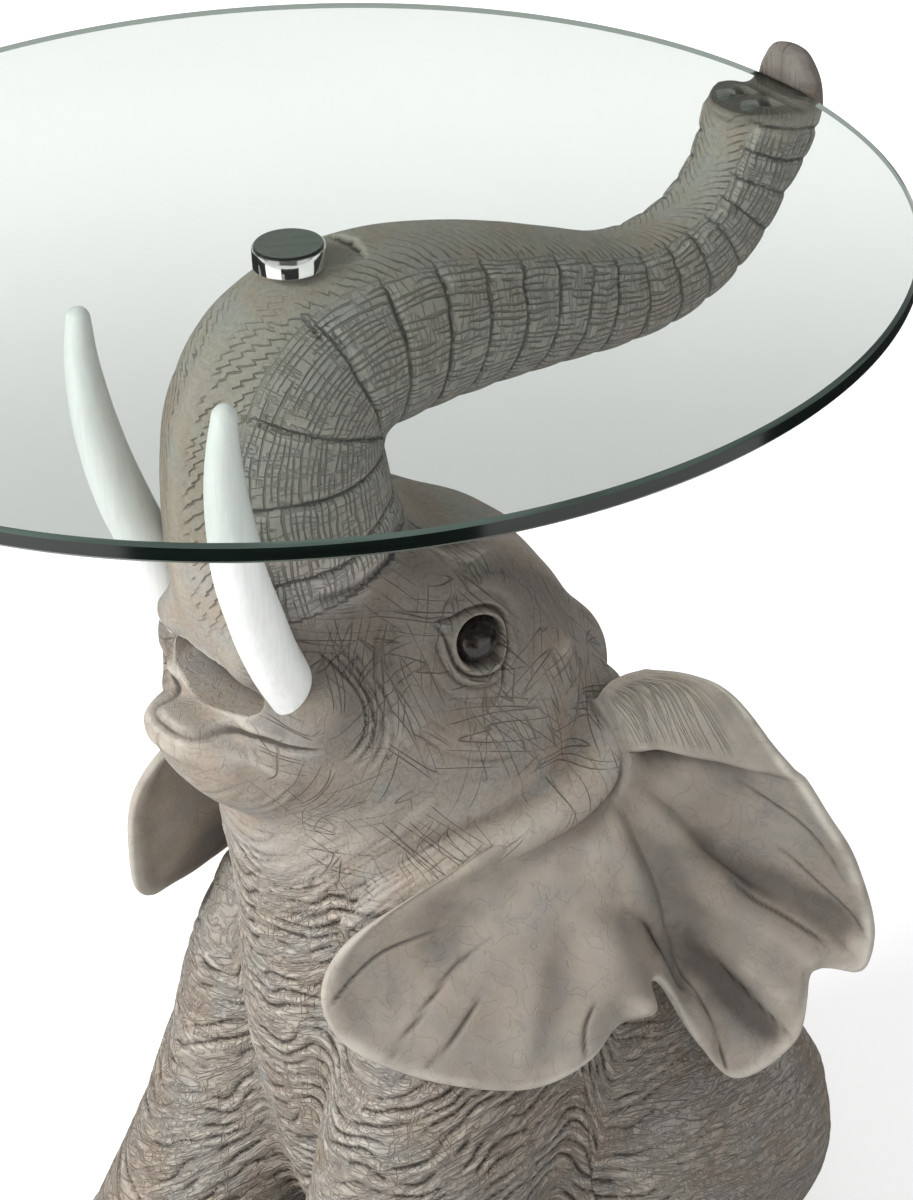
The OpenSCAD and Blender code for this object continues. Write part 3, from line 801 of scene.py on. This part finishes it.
# ------------------------------------------------------------------ glass, disc and bumpers
def lathe(name, prof, n, mats=None):
    V, F, M = [], [], []
    for r, z in prof:
        for j in range(n):
            a = 2 * math.pi * j / n
            V.append((r * math.cos(a), r * math.sin(a), z))
    for i in range(len(prof) - 1):
        for j in range(n):
            k = (j + 1) % n
            F.append((i * n + j, i * n + k, (i + 1) * n + k, (i + 1) * n + j))
            M.append(mats[i] if mats else 0)
    F.append(tuple(range(n - 1, -1, -1)))
    M.append(0)
    F.append(tuple((len(prof) - 1) * n + j for j in range(n)))
    M.append(0)
    ob = make(name, V, F, smooth=False)
    ob.data.polygons.foreach_set("material_index", M)
    ob.data.polygons.foreach_set("use_smooth", [len(p.vertices) == 4 for p in ob.data.polygons])
    bm = bmesh.new()
    bm.from_mesh(ob.data)
    for e in bm.edges:
        if len(e.link_faces) == 2 and e.calc_face_angle(0) > math.radians(28):
            e.smooth = False
    bm.to_mesh(ob.data)
    bm.free()
    return ob


GLASS_R, BEVEL = 250, 1.5
DISC_Z = SEAT_Z + 0.3
glass = lathe("glass_round", [(GLASS_R - BEVEL, TOP - GLASS_T), (GLASS_R, TOP - GLASS_T + BEVEL), (GLASS_R, TOP - BEVEL),
                              (GLASS_R - BEVEL, TOP)], 384, [1, 2, 1])
disc = lathe("disc_polished", [(r, DISC_Z + z) for r, z in ((13.8, 0), (14.6, 0.15), (15, 0.6), (15, 8.3), (14.8, 8.7),
                                                            (14.1, 9.35), (13.8, 9.5))], 128)

# ------------------------------------------------------------------ materials
class Nodes:
    """Short hand for a node tree."""

    def __init__(self, tree):
        self.t = tree

    def n(self, kind, ins=(), **kw):
        """New node; ins holds what goes into its sockets, kw its settings."""
        nd = self.t.nodes.new("ShaderNode" + kind)
        for k, v in kw.items():
            setattr(nd, k, v)
        for k, v in dict(ins).items():
            self.put(nd.inputs[k], v)
        return nd

    def link(self, a, b):
        self.t.links.new(a, b)

    def put(self, sock, v):
        if isinstance(v, bpy.types.NodeSocket):
            self.link(v, sock)
        else:
            sock.default_value = v

    def attr(self, name, vec=False):
        return self.n("Attribute", attribute_name=name).outputs["Vector" if vec else "Fac"]

    def math(self, op, *values):
        return self.n("Math", enumerate(values), operation=op).outputs[0]

    def mul(self, a, b):
        return self.math("MULTIPLY", a, b)

    def madd(self, a, b, c):
        return self.math("MULTIPLY_ADD", a, b, c)

    def max(self, a, b):
        return self.math("MAXIMUM", a, b)

    def size(self, a, less=0.0):
        return self.math("ABSOLUTE", self.math("SUBTRACT", a, less))

    def vmul(self, v, s):
        return self.n("VectorMath", {0: v, 1: s}, operation="MULTIPLY").outputs[0]

    def vadd(self, v, s):
        return self.n("VectorMath", {0: v, 1: s}, operation="ADD").outputs[0]

    def xyz(self, v):
        return self.n("SeparateXYZ", {0: v}).outputs

    def rot(self, v, e):
        return self.n("Mapping", {"Vector": v, "Rotation": e}).outputs[0]

    def noise(self, v, scale=1.0, detail=2.0, rough=0.5, dist=0.0):
        ins = {"Vector": v, "Scale": scale, "Detail": detail, "Roughness": rough, "Distortion": dist}
        return self.n("TexNoise", ins).outputs["Fac"]

    def ramp(self, x, a, b, lo=0.0, hi=1.0):
        ins = {"Value": x, "From Min": a, "From Max": b, "To Min": lo, "To Max": hi}
        return self.n("MapRange", ins, interpolation_type="SMOOTHSTEP").outputs["Result"]

    def crease(self, v, width, scale=1.0, detail=1.0, dist=0.0):
        """1 on thin lines where the noise crosses its middle, 0 elsewhere."""
        return self.ramp(self.size(self.noise(v, scale, detail, 0.5, dist), 0.5), 0.0, width, 1.0, 0.0)

    def mix(self, f, a, b):
        return self.n("Mix", {0: f, 6: a, 7: b}, data_type="RGBA", clamp_factor=True).outputs[2]

    def blend(self, f, a, b):
        return self.n("MixShader", {0: f, 1: a, 2: b}).outputs[0]

    def clear(self, color):
        return self.n("BsdfTransparent", {"Color": color}).outputs[0]

    def bump(self, h, strength, distance):
        return self.n("Bump", {"Strength": strength, "Distance": distance, "Height": h}).outputs[0]


class Mat(Nodes):
    def __init__(self, name):
        self.m = bpy.data.materials.new(name)
        self.m.use_nodes = True
        super().__init__(self.m.node_tree)
        self.b = self.t.nodes["Principled BSDF"]
        # object coordinates in millimetres
        self.mm = self.vmul(self.n("TexCoord").outputs["Object"], (1000.0, 1000.0, 1000.0))

    def surface(self, color, rough, **more):
        for k, v in {"Base Color": color, "Roughness": rough, **more}.items():
            self.put(self.b.inputs[k.replace("_", " ")], v)

    def show(self, shader):
        self.link(shader, self.t.nodes["Material Output"].inputs["Surface"])


def shade(color, k):
    return tuple(c * k for c in color[:3]) + (1,)


PALE = (0.53, 0.485, 0.425, 1)
BASE = (0.350, 0.315, 0.270, 1)
WARM = (0.350, 0.292, 0.236, 1)
COOL = (0.335, 0.328, 0.308, 1)
DARK = (0.050, 0.042, 0.035, 1)
SHADOW = (0.090, 0.080, 0.070, 1)
# scratches: bearing, closeness and width of each family
HATCH = ((0.85, 0.20, 0.018), (-0.5, 0.18, 0.016), (0.25, 0.20, 0.015), (-1.25, 0.18, 0.016), (1.35, 0.26, 0.018))


def resin(name, kind):
    m = Mat(name)
    mmv = m.mm
    cav = m.attr("cav")
    big = m.noise(mmv, 0.022, 3.0, 0.55)
    big2 = m.noise(m.vadd(mmv, (400.0, 100.0, 50.0)), 0.035, 3.0, 0.6)
    fine = m.noise(mmv, 0.55, 4.0, 0.6)
    grit = m.noise(mmv, 2.2, 2.0, 0.6)
    fl = m.attr("flow", True)
    if kind == "body":
        wt, wb, wh = m.xyz(m.attr("w", True))
        # lengthwise striations on the trunk, broken at each ring
        sway = m.noise(m.vmul(fl, (0.045, 0.10, 0.1)), 1.0, 2.0)
        saw = m.math("FRACT", m.madd(sway, 2.6, m.mul(m.xyz(fl)[1], 0.36)))
        kept = m.ramp(m.noise(m.vmul(fl, (0.075, 0.30, 0.3)), 1.0, 1.0), 0.36, 0.50)
        groove = m.mul(m.ramp(m.size(saw, 0.5), 0.27, 0.44), kept)
        cross = m.crease(m.vmul(fl, (0.33, 0.055, 0.05)), 0.05, 1.0, 1.0, 0.2)
        trunk_l = m.mul(m.max(groove, m.mul(cross, 0.55)), wt)
        # slanting strokes either side of the smooth spine
        feather = m.attr("feather", True)
        slant, amount, _ = m.xyz(feather)
        lean = m.noise(m.vmul(feather, (0.06, 0.0, 0.08)), 1.0, 2.0)
        saw = m.math("FRACT", m.madd(lean, 1.6, m.mul(slant, 0.22)))
        stroke = m.mul(m.ramp(m.size(saw, 0.5), 0.36, 0.47), m.mul(amount, m.ramp(m.noise(mmv, 0.11, 1.0), 0.36, 0.46)))
        trunk_l = m.max(trunk_l, stroke)
        # fine wrinkles across the legs and chest
        b1 = m.crease(m.vmul(fl, (0.22, 0.045, 0.045)), 0.045, 1.0, 2.0, 0.6)
        b2 = m.crease(m.vmul(fl, (0.50, 0.11, 0.11)), 0.05, 1.0, 2.0, 0.6)
        b3 = m.crease(m.vmul(fl, (0.05, 0.24, 0.24)), 0.035, 1.0, 2.0, 0.4)
        some = m.ramp(m.noise(mmv, 0.045, 2.0), 0.44, 0.56)
        fine_l = m.max(m.mul(b2, 0.5), m.mul(b3, m.mul(some, 0.7)))
        body_l = m.mul(m.max(m.mul(b1, 0.8), fine_l), wb)
        # scratched cross-hatching on the cheeks and flanks
        h = None
        for k, (a, sc, wd) in enumerate(HATCH):
            r = m.rot(m.vadd(mmv, (37.0 * k, 61.0 * k, 5.0)), (a, 0.0, 0.0))
            c = m.crease(m.vmul(r, (0.012, 0.014, sc)), wd, 1.0, 0.3, 0.0)
            c = m.mul(c, m.ramp(m.noise(m.vadd(mmv, (90.0 * k, 10.0, 70.0)), 0.030, 1.0), 0.49, 0.60))
            h = c if h is None else m.max(h, c)
        sides = m.ramp(m.size(m.xyz(mmv)[0]), 26.0, 44.0)
        small = m.mul(m.crease(mmv, 0.03, 0.11, 3.0, 0.6), m.mul(wh, 0.16))
        head_l = m.max(m.mul(m.mul(h, sides), m.madd(wh, 0.75, m.mul(wb, 0.5))), small)
        lines = m.max(m.max(trunk_l, m.mul(body_l, 0.9)), head_l)
    else:
        stri = m.crease(m.vmul(fl, (0.46, 0.035, 0.0)), 0.085, 1.0, 1.0, 0.5)
        tiny = m.crease(mmv, 0.012, 0.09, 2.0, 0.6)
        lines = m.max(m.mul(stri, m.attr("band")), m.mul(tiny, 0.22))
    # paint: base, warm and cool patches, dark wash with painted shade in the hollows, pale dry brush with painted
    # highlight on the ridges
    col = m.mix(m.ramp(big, 0.42, 0.60), BASE, WARM)
    col = m.mix(m.ramp(big2, 0.46, 0.64, 0.0, 0.65), col, COOL)
    col = m.mix(m.ramp(fine, 0.3, 0.7, 0.0, 0.20 if kind == "body" else 0.08), col, DARK)
    # painted highlight on the ridges
    hi = m.mul(m.ramp(m.mul(cav, -1.0), 0.03, 0.5), m.ramp(fine, 0.25, 0.6, 0.45, 1.0))
    col = m.mix(m.mul(hi, 0.75), col, PALE)
    # painted shade in the hollows
    lo = m.ramp(m.madd(fine, 0.10, cav), 0.10, 0.95)
    col = m.mix(m.mul(lo, 0.85), col, DARK)
    if kind == "body":
        col = m.mix(m.mul(wt, 0.45), col, COOL)
    col = m.mix(m.mul(lines, 0.48 if kind == "body" else 0.62), col, DARK)
    if kind == "body":
        # painted shade on the brow, cheeks, finger and flanks
        col = m.mix(m.attr("painted_shade"), col, DARK)
        col = m.mix(m.mul(m.attr("nail"), 0.75), col, (0.52, 0.47, 0.40, 1))
    else:
        f = m.attr("f")
        cloud = m.noise(mmv, 0.07, 4.0, 0.6)
        patches = m.mix(m.ramp(cloud, 0.35, 0.65), (0.330, 0.285, 0.235, 1), (0.225, 0.208, 0.187, 1))
        col = m.mix(0.50, col, patches)
        # painted shade in the fold valleys and painted highlight on the ridges, with random cloud mottling
        fold_shade = m.madd(m.math("SUBTRACT", cloud, 0.5), 0.8, m.attr("fold_shade"))
        col = m.mix(m.ramp(fold_shade, 0.12, 1.2, 0.0, 0.80), col, SHADOW)
        col = m.mix(m.ramp(m.mul(fold_shade, -1.0), 0.1, 1.2, 0.0, 0.32), col, (0.40, 0.36, 0.315, 1))
        x, _, z = m.xyz(mmv)
        # painted shade on the upper outer part of the ear
        upper_ear_shade = m.mul(m.ramp(z, 190.0, 270.0), m.ramp(m.size(x), 88.0, 116.0))
        col = m.mix(m.mul(upper_ear_shade, 0.38), col, SHADOW)
        # painted shade at the root, where the ear meets the head
        col = m.mix(m.ramp(f, -0.02, 0.14, 0.45, 0.0), col, DARK)
        col = m.mix(m.mul(m.attr("vein"), 0.85), col, DARK)
        # painted highlight on the rolled rim, patchy
        edge = m.mul(m.ramp(f, 0.965, 1.0), m.ramp(big2, 0.35, 0.6, 0.3, 1.0))
        col = m.mix(m.mul(edge, 0.75), col, (0.50, 0.465, 0.41, 1))
    hgt = m.math("SUBTRACT", m.madd(grit, 0.10, m.mul(fine, 0.22)), lines)
    m.surface(col, m.ramp(fine, 0.2, 0.8, 0.62, 0.86), Specular_IOR_Level=0.32,
              Normal=m.bump(hgt, *((1.0, 0.0011) if kind == "body" else (0.8, 0.0008))))
    return m.m


def ivory():
    m = Mat("tusk_white_satin")
    streak = m.noise(m.vmul(m.mm, (0.6, 0.6, 0.05)), 1.0, 3.0, 0.6)
    soft = m.noise(m.mm, 0.05, 2.0)
    col = m.mix(m.ramp(streak, 0.35, 0.7), (0.80, 0.81, 0.80, 1), (0.74, 0.75, 0.735, 1))
    col = m.mix(m.ramp(soft, 0.55, 0.8, 0.0, 0.3), col, (0.74, 0.72, 0.68, 1))
    m.surface(col, m.ramp(streak, 0.3, 0.7, 0.32, 0.5), Subsurface_Weight=0.08, Subsurface_Scale=0.004,
              Normal=m.bump(streak, 0.10, 0.0003))
    return m.m


def eye_mat():
    m = Mat("eye_gloss_black")
    s = m.noise(m.mm, 0.35, 3.0, 0.6)
    col = m.mix(m.ramp(s, 0.4, 0.7), (0.006, 0.005, 0.005, 1), (0.030, 0.022, 0.017, 1))
    m.surface(col, m.ramp(s, 0.3, 0.7, 0.20, 0.28), Coat_Weight=0.25, Coat_Roughness=0.06)
    return m.m


def metal(name, color, rough):
    m = Mat(name)
    g = m.ramp(m.noise(m.vmul(m.mm, (0.2, 0.2, 6.0)), 1.0, 2.0), 0.3, 0.7)
    m.surface(m.mix(g, color, shade(color, 0.93)), m.madd(g, rough * 0.6, rough), Metallic=1.0)
    return m.m


def plain(name, color, rough, scale=1.2, bump=0.0004, strength=0.4):
    m = Mat(name)
    g = m.noise(m.mm, scale, 4.0, 0.65)
    col = m.mix(m.ramp(g, 0.3, 0.7), color, shade(color, 0.72))
    m.surface(col, m.ramp(g, 0.3, 0.7, rough * 0.9, min(1, rough * 1.1)), Normal=m.bump(g, strength, bump))
    return m.m


def glass_body():
    """Clear tinted glass; shadow and diffuse rays go straight through."""
    m = Mat("glass_clear_tint")
    m.t.nodes.remove(m.b)
    ref = m.n("BsdfRefraction", {"IOR": 1.5, "Roughness": 0.0, "Color": (0.925, 0.947, 0.932, 1)})
    gl = m.n("BsdfGlossy", {"Roughness": 0.004})
    fr = m.n("Fresnel", {"IOR": 1.5})
    haze = m.ramp(m.noise(m.mm, 0.012, 2.0), 0.3, 0.7, 0.0, 0.004)
    seen = m.blend(m.math("ADD", fr.outputs[0], haze), ref.outputs[0], gl.outputs[0])
    lp = m.n("LightPath")
    dull = m.max(lp.outputs["Is Shadow Ray"], lp.outputs["Is Diffuse Ray"])
    m.show(m.blend(dull, seen, m.clear((0.90, 0.93, 0.915, 1))))
    return m.m


def silicone(name, color, milk):
    """Clear silicone: mostly see-through, with a slight milkiness."""
    m = Mat(name)
    m.surface(color, m.ramp(m.noise(m.mm, 0.8, 2.0), 0.3, 0.7, 0.25, 0.4))
    m.show(m.blend(milk, m.clear((0.95, 0.96, 0.955, 1)), m.b.outputs[0]))
    return m.m


def glass_edge(name, color, rough):
    """Painted dark edge from outside, a painted shade in place of the light through the thick glass edge; see-through
    from within the glass.
    """
    m = Mat(name)
    g = m.noise(m.vmul(m.mm, (0.02, 0.02, 0.6)), 1.0, 2.0)
    col = m.mix(m.ramp(g, 0.35, 0.65), color, shade(color, 0.6))
    m.surface(col, m.ramp(g, 0.3, 0.7, rough, rough * 1.5), Specular_IOR_Level=0.5)
    within = m.n("NewGeometry").outputs["Backfacing"]
    m.show(m.blend(within, m.b.outputs[0], m.clear((0.50, 0.56, 0.52, 1))))
    return m.m


# the glass edge and chamfer carry painted shade in place of the light seen through thick glass
for mat, objects in ((resin("resin_weathered", "body"), (skin,)), (resin("resin_ear", "ear"), (ear_l, ear_r)),
                     (ivory(), (tusk_l, tusk_r)), (eye_mat(), (eye_l, eye_r)), (glass_body(), (glass,)),
                     (glass_edge("glass_chamfer", (0.075, 0.105, 0.09, 1), 0.12), (glass,)),
                     (glass_edge("glass_edge_dark", (0.004, 0.008, 0.0065, 1), 0.10), (glass,)),
                     (metal("disc_chrome", (0.82, 0.82, 0.80, 1), 0.05), (disc,))):
    for o in objects:
        o.data.materials.append(mat)


def repaint(node, mat):
    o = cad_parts[node]
    if not o.data.materials:
        o.data.materials.append(mat)
    for s in o.material_slots:
        s.material = mat


repaint("stud", metal("stud_steel", (0.60, 0.60, 0.60, 1), 0.25))
repaint("threaded_insert", metal("insert_brass", (0.70, 0.52, 0.24, 1), 0.28))
# the bond film is painted dark grey-green, a painted reflection standing in for the chrome disc top seen through the
# glass
repaint("bond_film", plain("bond_painted_reflection", (0.16, 0.178, 0.155, 1), 0.3))
repaint("trunk_bumpers", silicone("bumper_silicone", (0.80, 0.82, 0.80, 1), 0.12))
repaint("fill_plug", plain("plug_black", (0.03, 0.03, 0.03, 1), 0.6))
repaint("felt_pads", plain("felt_dark", (0.05, 0.046, 0.042, 1), 0.95, 3.0, 0.0006, 0.8))

# ------------------------------------------------------------------ bodies
for o, b, s, nodes in ((skin, "base", "resin", ["elephant_body"]),
                       (ear_l, "base", "resin", ["ear_left"]), (ear_r, "base", "resin", ["ear_right"]),
                       (tusk_l, "base", "tusk", ["tusk_left"]), (tusk_r, "base", "tusk", ["tusk_right"]),
                       (eye_l, "base", "eye", ["eye_left"]), (eye_r, "base", "eye", ["eye_right"]),
                       (glass, "top", "glass", ["glass_top"]), (disc, "top", "disc", ["bonding_disc"])):
    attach(o, b)
    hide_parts(*nodes)

# ------------------------------------------------------------------ floor, light and camera
FLOOR = 6000
floor = make("floor", [(-FLOOR, -FLOOR, 0), (FLOOR, -FLOOR, 0), (FLOOR, FLOOR, 0), (-FLOOR, FLOOR, 0)], [(0, 1, 2, 3)])
fm = Mat("floor_white")
metres = fm.vmul(fm.mm, (MM, MM, MM))
out_r = fm.n("VectorMath", {0: metres}, operation="LENGTH").outputs["Value"]
# the floor is painted darker within 0.75 to 1.5 m of the table, a painted shade round it
far = fm.ramp(out_r, 0.75, 1.5)
patchy = fm.mix(fm.noise(metres, 1.5, 2.0), (0.90, 0.90, 0.90, 1), (0.88, 0.88, 0.88, 1))
glow = fm.max(fm.n("LightPath").outputs["Is Camera Ray"], far)
fm.surface(fm.mix(far, (0.66, 0.665, 0.66, 1), patchy), 0.95, Specular_IOR_Level=0.1, Emission_Color=(1, 1, 1, 1),
           Emission_Strength=fm.mul(glow, fm.ramp(out_r, 1.6, 3.5, 0.46, 0.62)))
floor.data.materials.append(fm.m)

world = bpy.data.worlds.new("studio")
bpy.context.scene.world = world
bpy.context.scene.view_settings.view_transform = "Standard"


LIGHT = 0.54           # strength of the studio's even light


def studio_world(w):
    """Even white light; polished things see a darker room with bright panels standing round it."""
    w.use_nodes = True
    t = Nodes(w.node_tree)
    bg = t.t.nodes["Background"]
    lp = t.n("LightPath")
    x, y, z = t.xyz(t.n("TexCoord").outputs["Generated"])
    turn = t.math("ARCTAN2", y, x)
    panels = t.ramp(t.math("SINE", t.madd(turn, 4.0, 0.9)), 0.0, 0.5, 0.04, 0.8)
    room = t.madd(panels, t.ramp(z, 0.05, 0.20, 1.0, 0.0), 0.10)
    seen = t.mul(lp.outputs["Is Glossy Ray"], t.math("SUBTRACT", room, LIGHT))
    beyond = t.ramp(z, 0.08, 0.35, 1.0, 0.14)
    through = t.mul(lp.outputs["Is Transmission Ray"], t.math("SUBTRACT", beyond, LIGHT))
    light = t.math("ADD", t.math("ADD", seen, through), LIGHT)
    t.link(t.max(light, lp.outputs["Is Camera Ray"]), bg.inputs["Strength"])
    bg.inputs["Color"].default_value = (1, 1, 1, 1)


studio_world(world)


def lamp(name, loc, size, power):
    """Area light looking at the middle of the table."""
    d = bpy.data.lights.new(name, "AREA")
    d.shape = "RECTANGLE"
    d.size, d.size_y = size
    d.energy = power
    o = bpy.data.objects.new(name, d)
    bpy.context.scene.collection.objects.link(o)
    o.location = loc
    o.rotation_euler = (Vector((0, 0, 0.3)) - Vector(loc)).to_track_quat("-Z", "Y").to_euler()
    o.visible_glossy = o.visible_transmission = False


lamp("key", (-0.35, -2.4, 2.0), (1.3, 1.1), 96)
lamp("fill", (2.2, -0.9, 1.7), (1.8, 1.8), 12)
lamp("rim", (-1.6, 1.6, 2.0), (1.4, 1.4), 14)

# black cards round the table: only polished things see them
CARD_R, CARD_N = 760, 24
for n_, (a0, a1) in enumerate(((-58, -6), (44, 130), (-194, -108))):
    arc = [math.radians(a0 + (a1 - a0) * i / CARD_N) for i in range(CARD_N + 1)]
    v = [(CARD_R * math.cos(a), CARD_R * math.sin(a), z) for z in (5, 430) for a in arc]
    card = make("card_%d" % n_, v, [(i, i + 1, CARD_N + 2 + i, CARD_N + 1 + i) for i in range(CARD_N)])
    card.data.materials.append(plain("card_black_%d" % n_, (0.03, 0.03, 0.03, 1), 0.9))
    card.visible_camera = card.visible_diffuse = card.visible_transmission = card.visible_shadow = False

cam_d = bpy.data.cameras.new("cam")
cam_d.lens = 120.0
cam_d.sensor_width = 36.0
cam_d.sensor_fit = "AUTO"
cam_d.clip_start = 0.05
cam = bpy.data.objects.new("cam", cam_d)
bpy.context.scene.collection.objects.link(cam)
bpy.context.scene.camera = cam
fwd = Vector((-0.7178, 0.4842, -0.5003)).normalized()
right = Vector((0.5758, 0.8168, -0.0356))
right = (right - fwd * right.dot(fwd)).normalized()
up = right.cross(fwd)
rot = Matrix((right, up, -fwd)).transposed().to_4x4()
rot.translation = Vector((1.2336, -0.7587 + AXIS_Y * MM, 0.6665 + TOP * MM))
cam.matrix_world = rot
